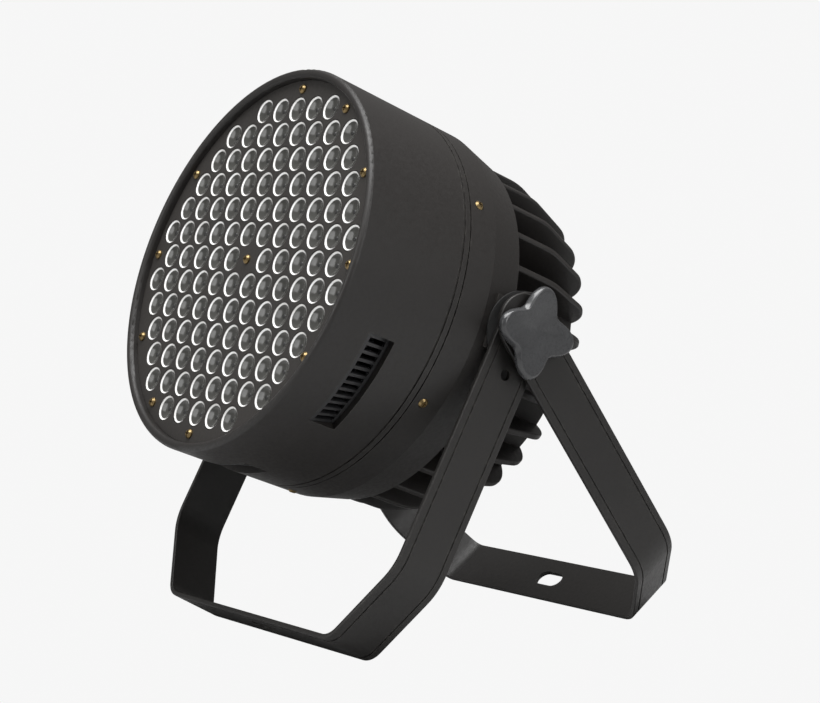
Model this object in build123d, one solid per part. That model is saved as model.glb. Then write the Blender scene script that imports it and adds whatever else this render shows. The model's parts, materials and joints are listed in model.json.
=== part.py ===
from build123d import *
from math import acos, atan2, cos, degrees, floor, hypot, radians, sin, sqrt, tan
import os

# A par can stage light on a double yoke, in millimetres, +Z up.
#
# The can is drawn in its own frame: +Z along the beam, +X along the tilt axis, Z = 0 on the
# front of the face plate.  Each yoke is drawn hanging straight down from the tilt axis.
# Both are then placed in the row's frame, where the light stands on its two yokes with its
# beam towards -Y and up, and the origin is under the middle of its bounding box.

# ---------------------------------------------------------------- driving dimensions
# can
can_radius = 120.5            # outside of the shroud
wall = 5.0                    # shroud wall behind the ledge
lip_height = 5.4              # rim in front of the face plate
lip_wall = 5.5
tilt = 21.45                  # beam above horizontal, degrees
front_turn = -1.26            # shroud and optics about the beam, from the tilt axis, degrees
seam_depth = 70.0             # front of the rear housing, behind the face plate
seam_gap = 0.8                # open line between the two castings
ring_width = 19.0             # straight band of the rear housing
skirt_length = 24.0           # tapered band behind it
skirt_step = 5.5              # taper of the skirt, on the radius
skirt_wall = 3.0
fin_step = 2.0                # fins inside the skirt's rear edge, on the radius
fin_height = 26.0             # fins outside the drum, on the radius
fin_straight_length = 32.0    # behind the skirt, before the fins curve in
fin_taper = 12.8              # how far the fins curve in, on the radius
fin_overhang = 2.0            # fins behind the rear wall
fin_thickness = 4.0
fin_bend_round = 40.0
fin_tip_round = 17.0
fin_count = 30
fin_edge = 1.2                # rounded outer edges of the fins
fin_phase = 20.0              # angle of the first fin from the tilt axis, degrees
core_wall = 4.0
drum_length = 71.0            # skirt's rear edge to the outer face of the rear wall
rear_wall_thickness = 5.0
web_thickness = 4.0
web_gap = 2.0                 # room for the gasket
spigot_length = 14.5          # shroud tail inside the rear housing's band
spigot_step = 3.7             # tail inside the shroud's outside, on the radius
spigot_wall = 3.5
fit_gap = 0.2                 # between castings that slide into each other
groove_width = 1.5
groove_depth = 0.8
groove_offset = 5.0           # groove in front of the seam

# face plate and optics
lens_pitch = 18.5
lens_rows = (5, 8, 9, 10, 11, 12, 11, 12, 11, 10, 9, 8, 5)
lens_spacing = 2.5            # between neighbouring flanges
lens_flange = 1.5
lens_flange_step = 0.8        # flange outside the cone, on the radius
lens_recess = 0.2
lens_hole_clearance = 0.2
lens_tip_radius = 3.0
lens_height = 9.7
lens_pocket_radius = 1.6
lens_pocket_depth = 2.2
holder_wall = 0.5
holder_foot_radius = 4.4
holder_foot_gap = 2.5         # lens tip to the light source board
optic_gap = 0.2
plate_thickness = 2.5
plate_clearance = 0.2
plate_screw_inset = 11.5      # from the outside of the shroud
plate_screw_angles = (0, 30, 60, 90, 150, 180, 210, 240, 270, 330)
boss_angles = tuple(range(0, 360, 30))
boss_radius = 4.4
ledge_width = 3.5
led_board_thickness = 1.6
led_board_gap = 4.5           # board edge to the shroud's wall
led_base_radius = 1.8
led_base_height = 0.7
led_dome_radius = 1.3
spacer_radius = 3.5

# cooling
sink_base_gap = 2.5           # base edge to the shroud's wall
sink_base_thickness = 5.0
sink_fin_gap = 17.5           # fin ends to the shroud's wall
sink_fin_height = 24.0
sink_fin_thickness = 2.0
sink_fin_pitch = 9.0
sink_screw_angles = (0, 60, 120, 180, 240, 300)
sink_screw_depth = 3.5        # thread in each boss
fan_size = 120.0
fan_corner_round = 6.0
fan_thickness = 25.0
fan_gap = 8.0                 # between heat sink fins and fan frame
fan_post_radius = 6.0
fan_bore_radius = 58.0
fan_blade_radius = 56.5
fan_hub_radius = 20.0
fan_blade_count = 7
fan_blade_angle = 38.0
fan_blade_width = 24.0
fan_blade_thickness = 1.6
fan_screw_spacing = 105.0
fan_axle_radius = 1.5
fan_axle_clearance = 0.05

# vents in the shroud
vent_angles = (-30, -90, -150)
vent_arc = 30.0               # degrees
vent_gap = 2.0                # behind the heat sink's base
vent_length = 18.0
vent_slots = 12
vent_slot_share = 0.62        # slot width over slot pitch
vent_frame = 2.0
vent_clearance = 0.15
vent_flange = 3.0

# fasteners: shank radius, head radius, head height, length
small_screw = (1.45, 2.9, 2.0, 7.0)
tiny_screw = (1.0, 1.9, 1.3, 5.0)
medium_screw = (1.95, 3.8, 2.6, 8.0)
thread_clearance = 0.05
pass_clearance = 0.2
ring_screw_angles = tuple(31.4 + 60 * index for index in range(6))
ring_screw_depth = 7.0        # behind the seam
ring_screw_sink = 0.9         # seat below the band's outside

# chassis and boards in the rear housing
chassis_gap = 16.0            # behind the fan
chassis_thickness = 1.5
chassis_edge_gap = 3.0        # from the drum's inner wall
pillar_radius = 4.0
pillar_angles = (30, 150, 210, 330)
board_thickness = 1.6
supply_size = (112.0, 72.0)
standoff_height = 6.0
standoff_radius = 3.0
control_board_size = (96.0, 42.0)
control_board_gap = 9.0       # board face to the panel's inner face
control_height = 30.0         # centre of the control board above the can's axis

# rear panel
panel_step = 9.0              # panel edge inside the drum's outside
panel_ledge = 8.0
panel_thickness = 2.0
panel_screw_angles = (0, 60, 120, 180, 240, 300)
window_size = (46.0, 18.0)
window_height = 40.0
button_radius = 4.0
button_flange = 1.2
button_pitch = 16.0
button_height = 18.0
button_stand = 2.5            # proud of the panel at rest
button_travel = 0.8
button_clearance = 0.1
socket_spacing = 84.0
socket_height = -18.0
socket_body_radius = 11.8
socket_flange = (26.0, 31.0)
socket_flange_thickness = 2.0
socket_bore_radius = 9.5
contact_circle_radius = 4.9
socket_screw_offsets = ((-9.5, 12.0), (9.5, -12.0))
tab_size = (6.0, 4.0)
tab_offset = 12.4             # from the middle of the socket
tab_travel = 1.2
inlet_flange = (31.0, 56.0)
inlet_flange_thickness = 2.5
inlet_body = (27.0, 40.0)
inlet_height = -36.0
inlet_recess = (24.2, 16.2)
inlet_recess_height = 7.0     # above the middle of the inlet
inlet_screw_offsets = (25.2, -25.2)
drawer_size = (22.0, 9.0)
drawer_height = -12.0
drawer_travel = 20.0
fuse_radius = 2.3
corner_round = 3.0            # flanges of the sockets and the inlet

# pivots, yokes and knobs
pivot_set_back = 5.0          # tilt axis behind the skirt
pad_height = 32.0
pad_front = 22.0              # ahead of the tilt axis
pad_rear = 27.0
pad_margin = 2.5              # open space round each pad, between the fins
pad_step = 1.0                # pad face inside the can's outside
disc_radius = 24.0
disc_thickness = 1.1
leg_gap = 0.2                 # running gap beside each friction disc
bar_width = 34.9
bar_thickness = 2.8
liner_thickness = 2.4         # friction disc between the two yokes
liner_radius = 16.0
inner_drop = 205.0            # tilt axis to the outer face of the front yoke's bottom bar
nest_gap = 7.8                # between the two bottom bars when nested
front_corner_drop = 49.0      # height of the front yoke's angled corner
rear_corner_drop = 43.0
corner_side = 33.0            # width of the angled corner
leg_bend = 30.0               # inside radius where a leg turns in
bar_bend = 12.0               # inside radius where the corner meets the bar
ear_rise = 6.8                # centre of each rounded end above the tilt axis
bar_edge = 0.7                # rounded edges of the bars
bar_groove_width = 1.2
bar_groove_depth = 0.5
bar_groove_inset = 5.0
slot_length = 23.0
slot_width = 12.0
front_lean = 29.7             # front yoke ahead of straight down, degrees
locator_hole_radius = 3.3
locator_drop = 27.7
bolt_radius = 3.95
bolt_bore_clearance = 0.05
pivot_clearance = 0.3         # bolt in the yokes, discs and washers
bush_wall = 3.0
bush_length = 22.0
clamp_washer_radius = 12.0
clamp_washer_thickness = 1.6
clamp_gap = 0.05              # between the outer yoke and each washer
knob_tip_radius = 27.5
knob_lobe_radius = 5.8
knob_waist_radius = 15.5
knob_thickness = 7.8
knob_edge = 1.6
knob_turn = 4.5               # first lobe from the beam direction, degrees
knob_bolt_share = 0.6         # bolt depth over the knob's thickness

# ---------------------------------------------------------------- worked-out places
half_bar = bar_width / 2
pad_face = can_radius - pad_step
inner_leg_inside = pad_face + disc_thickness + leg_gap
inner_leg_outside = inner_leg_inside + bar_thickness
outer_leg_inside = inner_leg_outside + liner_thickness + leg_gap
outer_leg_outside = outer_leg_inside + bar_thickness
outer_drop = inner_drop + nest_gap + bar_thickness
pivot_height = inner_drop * cos(radians(front_lean)) + half_bar * sin(radians(front_lean))
foot_reach = hypot(outer_drop, half_bar)
rear_lean = degrees(atan2(half_bar, outer_drop) + acos(pivot_height / foot_reach))

ring_end = seam_depth + ring_width
skirt_end = ring_end + skirt_length
pivot_depth = skirt_end + pivot_set_back
rear_wall_depth = skirt_end + drum_length
fin_end_depth = rear_wall_depth + fin_overhang
skirt_radius = can_radius - skirt_step
fin_radius = skirt_radius - fin_step
fin_end_radius = fin_radius - fin_taper
core_radius = fin_radius - fin_height
cavity_radius = core_radius - core_wall
spigot_radius = can_radius - spigot_step
web_front = seam_depth + spigot_length + web_gap
web_rear = web_front + web_thickness
band_inside = spigot_radius + fit_gap
inside_radius = can_radius - wall

front_reach = (can_radius * sin(radians(tilt))
               + (pivot_depth + lip_height) * cos(radians(tilt)))
rear_reach = (outer_drop * sin(radians(rear_lean))
              + half_bar * cos(radians(rear_lean)))
pivot_y = (front_reach - rear_reach) / 2

lens_radius = (lens_pitch - lens_spacing) / 2
lens_cone_radius = lens_radius - lens_flange_step
plate_screw_circle = can_radius - plate_screw_inset
led_board_depth = lens_recess + lens_height + holder_foot_gap
led_board_radius = inside_radius - led_board_gap
sink_front = led_board_depth + led_board_thickness
sink_rear = sink_front + sink_base_thickness
sink_base_radius = inside_radius - sink_base_gap
sink_fin_radius = inside_radius - sink_fin_gap
sink_screw_length = sink_base_thickness + sink_screw_depth
fan_front = sink_rear + sink_fin_height + fan_gap
fan_rear = fan_front + fan_thickness
vent_front = sink_rear + vent_gap
chassis_depth = fan_rear + chassis_gap
chassis_radius = cavity_radius - chassis_edge_gap
pillar_circle = chassis_radius - pillar_radius
panel_inner = rear_wall_depth - panel_thickness
panel_radius = core_radius - panel_step
panel_opening_radius = panel_radius - panel_ledge
panel_screw_circle = panel_radius - panel_ledge / 2
supply_front = chassis_depth + chassis_thickness + standoff_height
supply_rear = supply_front + board_thickness
control_board_depth = panel_inner - control_board_gap
control_rear = control_board_depth + board_thickness
bush_radius = bolt_radius + bolt_bore_clearance + bush_wall
pivot_hole_radius = bolt_radius + pivot_clearance

lens_spots = [((column - (count - 1) / 2) * lens_pitch,
               (len(lens_rows) // 2 - row) * lens_pitch * sqrt(3) / 2)
              for row, count in enumerate(lens_rows) for column in range(count)]
lens_spots = [spot for spot in lens_spots if hypot(*spot) > lens_pitch / 4]
# small screws that hold the board to the heat sink, midway between neighbouring lenses
board_screw_spots = [(side * 3 * lens_pitch, rise * lens_pitch * 4 / sqrt(3))
                     for side in (-1, 1) for rise in (-1, 1)]
supply_spots = [(sx * (supply_size[0] / 2 - 5), sy * (supply_size[1] / 2 - 5))
                for sx in (-1, 1) for sy in (-1, 1)]
control_spots = [(sx * (control_board_size[0] / 2 - 4),
                  control_height + sy * (control_board_size[1] / 2 - 4))
                 for sx in (-1, 1) for sy in (-1, 1)]
button_spots = [((index - 1.5) * button_pitch, button_height) for index in range(4)]
socket_spots = [(-socket_spacing / 2, socket_height), (socket_spacing / 2, socket_height)]

can_place = (Pos(0, pivot_y, pivot_height) * Rot(90 - tilt, 0, 0)
             * Pos(0, 0, pivot_depth))
front_place = can_place * Rot(0, 0, front_turn)
front_yoke_place = Pos(0, pivot_y, pivot_height) * Rot(-front_lean, 0, 0)
rear_yoke_place = Pos(0, pivot_y, pivot_height) * Rot(rear_lean, 0, 0)

nodes = {}


# ---------------------------------------------------------------- helpers
def keep(name, place, *solids):
    """Put one node's solids in the row's frame."""
    flat = []
    for shape in solids:
        flat += (place * shape).solids()
    nodes[name] = flat[0] if len(flat) == 1 else Compound(children=flat)


def at_depth(depth, x=0, y=0):
    return Pos(x, y, -depth)


def cylinder(radius, front, rear, x=0, y=0):
    """A round solid along the beam axis, from one depth to another."""
    return Pos(x, y, -rear) * extrude(Circle(radius), rear - front)


def tube(outer, inner, front, rear, x=0, y=0):
    return Pos(x, y, -rear) * extrude(Circle(outer) - Circle(inner), rear - front)


def block(size_x, size_y, front, rear, x=0, y=0):
    return Pos(x, y, -rear) * extrude(Rectangle(size_x, size_y), rear - front)


def turned(points, arc=360.0):
    """A solid of revolution from (radius, depth) points."""
    outline = [(radius, -depth) for radius, depth in points]
    face = make_face(Polyline(*outline, close=True))
    return revolve(Plane.XZ * face, Axis.Z, revolution_arc=arc)


def ring_of(radius, angles):
    return [(radius * cos(radians(a)), radius * sin(radians(a))) for a in angles]


def screw(sizes, length=None):
    """A cross-head screw: head on +Z, its seat at Z = 0."""
    shank, head, height, usual = sizes
    length = length or usual
    crown = make_face(Polyline((0, 0), (head, 0), (head, 0.45 * height), (0.62 * head, height),
                               (0, height), close=True))
    body = revolve(Plane.XZ * crown, Axis.Z) + Pos(0, 0, -length) * extrude(Circle(shank), length)
    cross = Rectangle(1.15 * head, 0.24 * head) + Rectangle(0.24 * head, 1.15 * head)
    return body - Pos(0, 0, 0.4 * height) * extrude(cross, height)


def shank_hole(sizes, front, rear, x, y, clearance=thread_clearance):
    return cylinder(sizes[0] + clearance, front, rear, x, y)


# ---------------------------------------------------------------- front shroud
def sector(inner, outer, front, rear, arc, angle):
    """Part of a ring, centred on one angle round the beam axis."""
    points = [(inner, front), (outer, front), (outer, rear), (inner, rear)]
    return Rot(0, 0, angle - arc / 2) * turned(points, arc)


def front_shroud():
    ledge_inside = inside_radius - ledge_width
    end = seam_depth - seam_gap
    groove = end - groove_offset
    tail_end = seam_depth + spigot_length
    tail_inside = spigot_radius - spigot_wall
    outline = [(can_radius - lip_wall, -lip_height), (can_radius, -lip_height),
               (can_radius, groove), (can_radius - groove_depth, groove),
               (can_radius - groove_depth, groove + groove_width),
               (can_radius, groove + groove_width), (can_radius, end),
               (spigot_radius, end), (spigot_radius, tail_end), (tail_inside, tail_end),
               (tail_inside, end - 2 * spigot_wall), (inside_radius, end - 2.6 * spigot_wall),
               (inside_radius, sink_front), (ledge_inside, sink_front),
               (ledge_inside, plate_thickness), (can_radius - lip_wall, plate_thickness)]
    shroud = turned(outline)
    rim = [e for e in shroud.edges().filter_by(GeomType.CIRCLE)
           if abs(e.center().Z - lip_height) < 0.01]
    shroud = fillet(rim, 0.47 * lip_wall)
    bosses = [cylinder(boss_radius, plate_thickness, sink_front, x, y)
              for x, y in ring_of(plate_screw_circle, boss_angles)]
    shroud = shroud + bosses
    cuts = [shank_hole(small_screw, plate_thickness, small_screw[3] + 1, x, y)
            for x, y in ring_of(plate_screw_circle, plate_screw_angles)]
    cuts += [shank_hole(small_screw, sink_front - sink_screw_depth - 0.5, sink_front, x, y)
             for x, y in ring_of(plate_screw_circle, sink_screw_angles)]
    cuts += [sector(inside_radius - 2, can_radius + 2, vent_front, vent_front + vent_length,
                    vent_arc, angle) for angle in vent_angles]
    cuts += [Rot(0, 0, -front_turn) * hole
             for hole in ring_screw_holes(spigot_radius + 1, thread_clearance)]
    return shroud - cuts


def radial(shape, angle, depth):
    """Turn a +Z shape to point outwards at one angle and depth."""
    return at_depth(depth) * Rot(0, 0, angle) * Rot(0, 90, 0) * shape


def ring_screw_holes(outer, clearance):
    inner = spigot_radius - spigot_wall - 1
    hole = Pos(0, 0, inner) * extrude(Circle(small_screw[0] + clearance), outer - inner)
    return [radial(hole, angle, seam_depth + ring_screw_depth) for angle in ring_screw_angles]


def vent_screen(angle):
    """A comb of ribs that drop away towards the rear of the window."""
    gap = degrees(vent_clearance / can_radius)
    front = vent_front + vent_clearance
    rear = vent_front + vent_length - vent_clearance
    back = inside_radius - fit_gap
    floor_radius = back - 2.0
    rib_foot = back + 0.8
    points = [(floor_radius, front), (can_radius - 0.2, front),
              (can_radius - 0.2, front + vent_frame), (rib_foot, rear - vent_frame),
              (rib_foot, rear), (floor_radius, rear)]
    arc = vent_arc - 2 * gap
    comb = Rot(0, 0, angle - arc / 2) * turned(points, arc)
    flange_arc = vent_arc + 2 * degrees(vent_flange / can_radius)
    comb = comb + sector(floor_radius, back, vent_front - vent_flange,
                         vent_front + vent_length + vent_flange, flange_arc, angle)
    pitch = (arc - 1.2) / vent_slots
    slots = []
    for index in range(vent_slots):
        middle = angle + (index - (vent_slots - 1) / 2) * pitch
        slots.append(sector(floor_radius - 1, can_radius + 1, front + vent_frame,
                            rear - vent_frame, pitch * vent_slot_share, middle))
    return comb - slots


# ---------------------------------------------------------------- face plate and optics
def face_plate():
    outline = Circle(can_radius - lip_wall - plate_clearance)
    hole = lens_radius + lens_hole_clearance
    openings = [Pos(x, y) * Circle(hole) for x, y in lens_spots]
    passes = ring_of(plate_screw_circle, plate_screw_angles) + [(0, 0)]
    openings += [Pos(x, y) * Circle(small_screw[0] + pass_clearance) for x, y in passes]
    return Pos(0, 0, -plate_thickness) * extrude(outline - openings, plate_thickness)


def lens():
    """A collimator: flat flange, cone below it and a pocket over the light source."""
    top = lens_recess
    seat = top + lens_flange
    tip = top + lens_height
    return turned([(0, top), (lens_radius, top), (lens_radius, seat), (lens_cone_radius, seat),
                   (lens_tip_radius, tip), (lens_pocket_radius, tip),
                   (0.75 * lens_pocket_radius, tip - lens_pocket_depth),
                   (0, tip - lens_pocket_depth)])


def lens_holder():
    seat = lens_recess + lens_flange
    tip = lens_recess + lens_height
    inner_top = lens_cone_radius + optic_gap
    inner_tip = lens_tip_radius + optic_gap
    outer_top = inner_top + holder_wall
    return turned([(inner_top, seat), (outer_top, seat), (outer_top, seat + 1.3),
                   (holder_foot_radius, led_board_depth), (inner_tip, led_board_depth),
                   (inner_tip, tip)])


def led():
    base = cylinder(led_base_radius, led_board_depth - led_base_height, led_board_depth)
    return base + at_depth(led_board_depth - led_base_height) * Sphere(led_dome_radius, arc_size1=0)


def led_board():
    shape = Circle(led_board_radius)
    notch = boss_radius + 2 * fit_gap
    cuts = []
    for angle in boss_angles:
        cuts.append(Rot(0, 0, angle) * Pos(plate_screw_circle + notch, 0)
                    * Rectangle(2 * notch, 2 * notch))
        cuts.append(Rot(0, 0, angle) * Pos(plate_screw_circle, 0) * Circle(notch))
    cuts += [Pos(x, y) * Circle(tiny_screw[0] + pass_clearance) for x, y in board_screw_spots]
    return at_depth(sink_front) * extrude(shape - cuts, led_board_thickness)


# ---------------------------------------------------------------- heat sink and fan
def heat_sink():
    base = cylinder(sink_base_radius, sink_front, sink_rear)
    fins = []
    half_count = floor(sink_fin_radius / sink_fin_pitch)
    post_spot = fan_screw_spacing / 2
    for index in range(-half_count, half_count + 1):
        x = index * sink_fin_pitch
        span = 2 * sqrt(max(sink_fin_radius ** 2 - x ** 2, 1))
        if span > 30:
            fins.append(block(sink_fin_thickness, span, sink_rear - 0.5,
                              sink_rear + sink_fin_height, x))
    posts = [cylinder(fan_post_radius, sink_rear - 0.5, fan_front, sx * post_spot, sy * post_spot)
             for sx in (-1, 1) for sy in (-1, 1)]
    cuts = [cylinder(small_screw[0] + pass_clearance, sink_front, sink_rear, x, y)
            for x, y in ring_of(plate_screw_circle, sink_screw_angles)]
    cuts += [shank_hole(medium_screw, fan_front - 12, fan_front, sx * post_spot, sy * post_spot)
             for sx in (-1, 1) for sy in (-1, 1)]
    cuts += [shank_hole(tiny_screw, sink_front, sink_front + 4.0, x, y)
             for x, y in board_screw_spots]
    return base + fins + posts - cuts


def fan_frame():
    spot = fan_screw_spacing / 2
    body = at_depth(fan_rear) * extrude(RectangleRounded(fan_size, fan_size, fan_corner_round),
                                         fan_thickness)
    body -= cylinder(fan_bore_radius, fan_front - 1, fan_rear + 1)
    seat_front = fan_rear - 3.0
    arm_length = fan_bore_radius - fan_hub_radius + 1
    arms = [Rot(0, 0, angle) * block(arm_length, 4.0, seat_front, fan_rear,
                                     fan_hub_radius + arm_length / 2)
            for angle in (45, 165, 285)]
    seat = cylinder(22.0, seat_front, fan_rear)
    post = cylinder(5.0, fan_front + 4.0, fan_rear - 1)
    bore = cylinder(fan_axle_radius + fan_axle_clearance, fan_front, fan_rear - 1.5)
    holes = [cylinder(medium_screw[0] + pass_clearance, fan_front - 1, fan_rear + 1,
                      sx * spot, sy * spot) for sx in (-1, 1) for sy in (-1, 1)]
    return body + arms + seat + post - bore - holes


def fan_rotor():
    front = fan_front + 1.0
    cup_rear = fan_rear - 3.6
    hub = cylinder(fan_hub_radius, front, cup_rear)
    hub -= cylinder(fan_hub_radius - 2.0, front + 2.0, cup_rear)
    axle = cylinder(fan_axle_radius, front + 1.0, fan_rear - 2.0)
    middle = (front + cup_rear) / 2
    reach = fan_blade_radius + 4
    blade = (at_depth(middle) * Pos(reach / 2, 0, 0) * Rot(fan_blade_angle, 0, 0)
             * Box(reach, fan_blade_width, fan_blade_thickness))
    zone = tube(fan_blade_radius, fan_hub_radius - 0.5, front + 0.5, cup_rear - 0.5)
    blades = [Rot(0, 0, index * 360 / fan_blade_count) * (blade & zone)
              for index in range(fan_blade_count)]
    return hub + axle + blades


# ---------------------------------------------------------------- rear housing
def fin_solid():
    """One fin on the XZ plane, its root inside the drum and its front inside the skirt."""
    root = core_radius - 2
    straight_end = skirt_end + fin_straight_length
    front = web_front + 1
    corners = [(root, -front), (can_radius - skirt_wall / 2 - 0.5, -front),
               (fin_radius, -skirt_end + skirt_wall), (fin_radius, -straight_end),
               (fin_end_radius, -fin_end_depth), (root, -fin_end_depth)]
    face = make_face(Polyline(*corners, close=True))
    face = fillet([v for v in face.vertices() if abs(v.X - fin_end_radius) < 0.01], fin_tip_round)
    face = fillet([v for v in face.vertices() if abs(v.Y + straight_end) < 0.01], fin_bend_round)
    fin = extrude(Plane.XZ * face, fin_thickness / 2, both=True)
    edges = [e for e in fin.edges() if e.bounding_box().size.Y < 0.01
             and (e @ 0.5).X > root + 0.5 and (e @ 0.5).Z < -front - 1]
    return fillet(edges, fin_edge)


def rear_housing():
    skirt_slope = (can_radius - skirt_radius) / skirt_length
    shell = turned([(band_inside, seam_depth), (can_radius, seam_depth),
                    (can_radius, ring_end), (skirt_radius, skirt_end),
                    (skirt_radius - skirt_wall, skirt_end),
                    (skirt_radius - skirt_wall + skirt_slope * (skirt_end - web_rear), web_rear),
                    (core_radius, web_rear), (core_radius, rear_wall_depth),
                    (panel_radius + fit_gap, rear_wall_depth),
                    (panel_radius + fit_gap, panel_inner),
                    (panel_opening_radius, panel_inner),
                    (panel_opening_radius, rear_wall_depth - rear_wall_thickness),
                    (cavity_radius, rear_wall_depth - rear_wall_thickness),
                    (cavity_radius, web_front), (band_inside, web_front)])
    fin = fin_solid()
    fins = [Rot(0, 0, fin_phase + index * 360 / fin_count) * fin for index in range(fin_count)]
    shell = shell + fins
    top = pivot_depth - pad_front
    bottom = pivot_depth + pad_rear
    for side in (-1, 1):
        room = block(2 * (can_radius - core_radius), pad_height + 2 * pad_margin, top,
                     bottom + pad_margin, side * can_radius)
        pad = block(pad_face - core_radius + 2, pad_height, top, bottom,
                    side * (pad_face + core_radius - 2) / 2)
        bush = (Pos(side * pad_face, 0, -pivot_depth) * Rot(0, -90 * side, 0)
                * extrude(Circle(bush_radius), bush_length))
        drum = cylinder(core_radius, web_rear, rear_wall_depth)
        band = turned([(band_inside, seam_depth), (can_radius, seam_depth),
                       (can_radius, ring_end), (skirt_radius, skirt_end),
                       (skirt_radius - skirt_wall, skirt_end), (band_inside, web_front)])
        shell = shell - (room - drum - band) + pad - bush
    holes = ring_screw_holes(can_radius + 1, pass_clearance)
    seats = (Pos(0, 0, can_radius - ring_screw_sink)
             * extrude(Circle(small_screw[1] + 1.5 * pass_clearance), 3))
    holes += [radial(seats, angle, seam_depth + ring_screw_depth)
              for angle in ring_screw_angles]
    holes += [shank_hole(small_screw, panel_inner - 4.0, panel_inner, x, y)
              for x, y in ring_of(panel_screw_circle, panel_screw_angles)]
    return shell - holes


# ---------------------------------------------------------------- chassis and boards
def chassis_plate():
    rear = chassis_depth + chassis_thickness
    plate = cylinder(chassis_radius, chassis_depth, rear)
    window = block(30, 20, chassis_depth, rear, 0, 62)
    holes = [cylinder(small_screw[0] + pass_clearance, chassis_depth, rear, x, y)
             for x, y in ring_of(pillar_circle, pillar_angles)]
    holes += [cylinder(tiny_screw[0] + pass_clearance, chassis_depth, rear, x, y)
              for x, y in supply_spots]
    return plate - window - holes


def pillar(x, y):
    front = chassis_depth + chassis_thickness
    rear = rear_wall_depth - rear_wall_thickness
    post = cylinder(pillar_radius, front, rear, x, y)
    post -= shank_hole(small_screw, front, front + 8, x, y)
    return post


def supply_board():
    board = block(*supply_size, supply_front, supply_rear)
    holes = [cylinder(tiny_screw[0] + pass_clearance, supply_front, supply_rear, x, y)
             for x, y in supply_spots]
    return board - holes


def standoff(front, rear, x, y):
    return tube(standoff_radius, tiny_screw[0] + thread_clearance, front, rear, x, y)


def transformer():
    core = block(30, 36, supply_rear, supply_rear + 24, -12, 0)
    coil = block(38, 24, supply_rear + 3, supply_rear + 21, -12, 0)
    return core + coil


def capacitor(x, y, radius, height):
    can = cylinder(radius, supply_rear, supply_rear + height, x, y)
    rim = [e for e in can.edges().filter_by(GeomType.CIRCLE)
           if abs(e.center().Z + supply_rear + height) < 0.01]
    return fillet(rim, 0.8)


def supply_parts():
    parts = [transformer()]
    parts += [capacitor(x, y, 9.0, 28.0) for x, y in ((22, 16), (22, -14), (43, 16))]
    parts.append(block(4, 50, supply_rear, supply_rear + 20, -48, 0))
    parts.append(block(12, 26, supply_rear, supply_rear + 12, 42, -16))
    return parts


# ---------------------------------------------------------------- control board and rear panel

def control_board():
    board = block(*control_board_size, control_board_depth, control_rear, 0, control_height)
    holes = [cylinder(tiny_screw[0] + pass_clearance, control_board_depth, control_rear, x, y)
             for x, y in control_spots]
    return board - holes


def control_parts():
    """Display module, four key switches and a few chips."""
    parts = [block(window_size[0] + 6, window_size[1] + 4, control_rear, panel_inner - 0.4,
                   0, window_height)]
    switch_rear = panel_inner - button_flange - 0.2 - button_travel - 0.2
    parts += [block(6, 6, control_rear, switch_rear, x, y) for x, y in button_spots]
    parts.append(block(12, 12, control_board_depth - 2.0, control_board_depth, -18, control_height))
    parts.append(block(9, 14, control_board_depth - 2.4, control_board_depth, 12, control_height))
    return parts


def menu_button(x, y):
    """A cap with a flange behind the panel that keeps it in."""
    face = rear_wall_depth + button_stand
    flange_rear = panel_inner - 0.2
    cap = cylinder(button_radius, flange_rear - button_flange, face, x, y)
    edges = [e for e in cap.edges().filter_by(GeomType.CIRCLE)
             if abs(e.center().Z + face) < 0.01]
    cap = fillet(edges, 0.6)
    return cap + cylinder(button_radius + 1.2, flange_rear - button_flange, flange_rear, x, y)


def rear_panel():
    sheet = Circle(panel_radius)
    cuts = [Pos(x, y) * Circle(small_screw[0] + pass_clearance)
            for x, y in ring_of(panel_screw_circle, panel_screw_angles)]
    cuts.append(Pos(0, window_height) * Rectangle(*window_size))
    cuts += [Pos(x, y) * Circle(button_radius + button_clearance) for x, y in button_spots]
    cuts += [Pos(x, y) * Circle(socket_body_radius + fit_gap) for x, y in socket_spots]
    cuts.append(Pos(socket_spots[1][0], socket_spots[1][1] + tab_offset)
                * Rectangle(tab_size[0] + 2 * fit_gap, tab_size[1] + 2 * fit_gap))
    cuts += [Pos(x + dx, y + dy) * Circle(tiny_screw[0] + thread_clearance)
             for x, y in socket_spots for dx, dy in socket_screw_offsets]
    cuts.append(Pos(0, inlet_height) * Rectangle(inlet_body[0] + 2 * fit_gap,
                                                 inlet_body[1] + 2 * fit_gap))
    cuts += [Pos(0, inlet_height + dy) * Circle(tiny_screw[0] + thread_clearance)
             for dy in inlet_screw_offsets]
    cuts += [Pos(x, y) * Circle(tiny_screw[0] + thread_clearance) for x, y in control_spots]
    return at_depth(rear_wall_depth) * extrude(sheet - cuts, panel_thickness)


def display_window():
    gap = button_clearance
    return block(window_size[0] - 2 * gap, window_size[1] - 2 * gap, panel_inner,
                 rear_wall_depth + 0.6, 0, window_height)


def socket_blank():
    """Flange and barrel of a round signal socket, both on the origin."""
    face = rear_wall_depth
    plate = (at_depth(face + socket_flange_thickness)
             * extrude(RectangleRounded(*socket_flange, corner_round), socket_flange_thickness))
    barrel = cylinder(socket_body_radius, face - 22, face + 1)
    return plate + barrel - [cylinder(tiny_screw[0] + pass_clearance, face - 1, face + 3, dx, dy)
                             for dx, dy in socket_screw_offsets]


def contact_circle():
    return ring_of(contact_circle_radius, (90, 210, 330))


def signal_input():
    """Plug side: three pins in an open barrel."""
    face = rear_wall_depth
    body = socket_blank() - cylinder(socket_bore_radius, face - 14, face + 3)
    return body + [cylinder(1.2, face - 15, face - 3, x, y) for x, y in contact_circle()]


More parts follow.
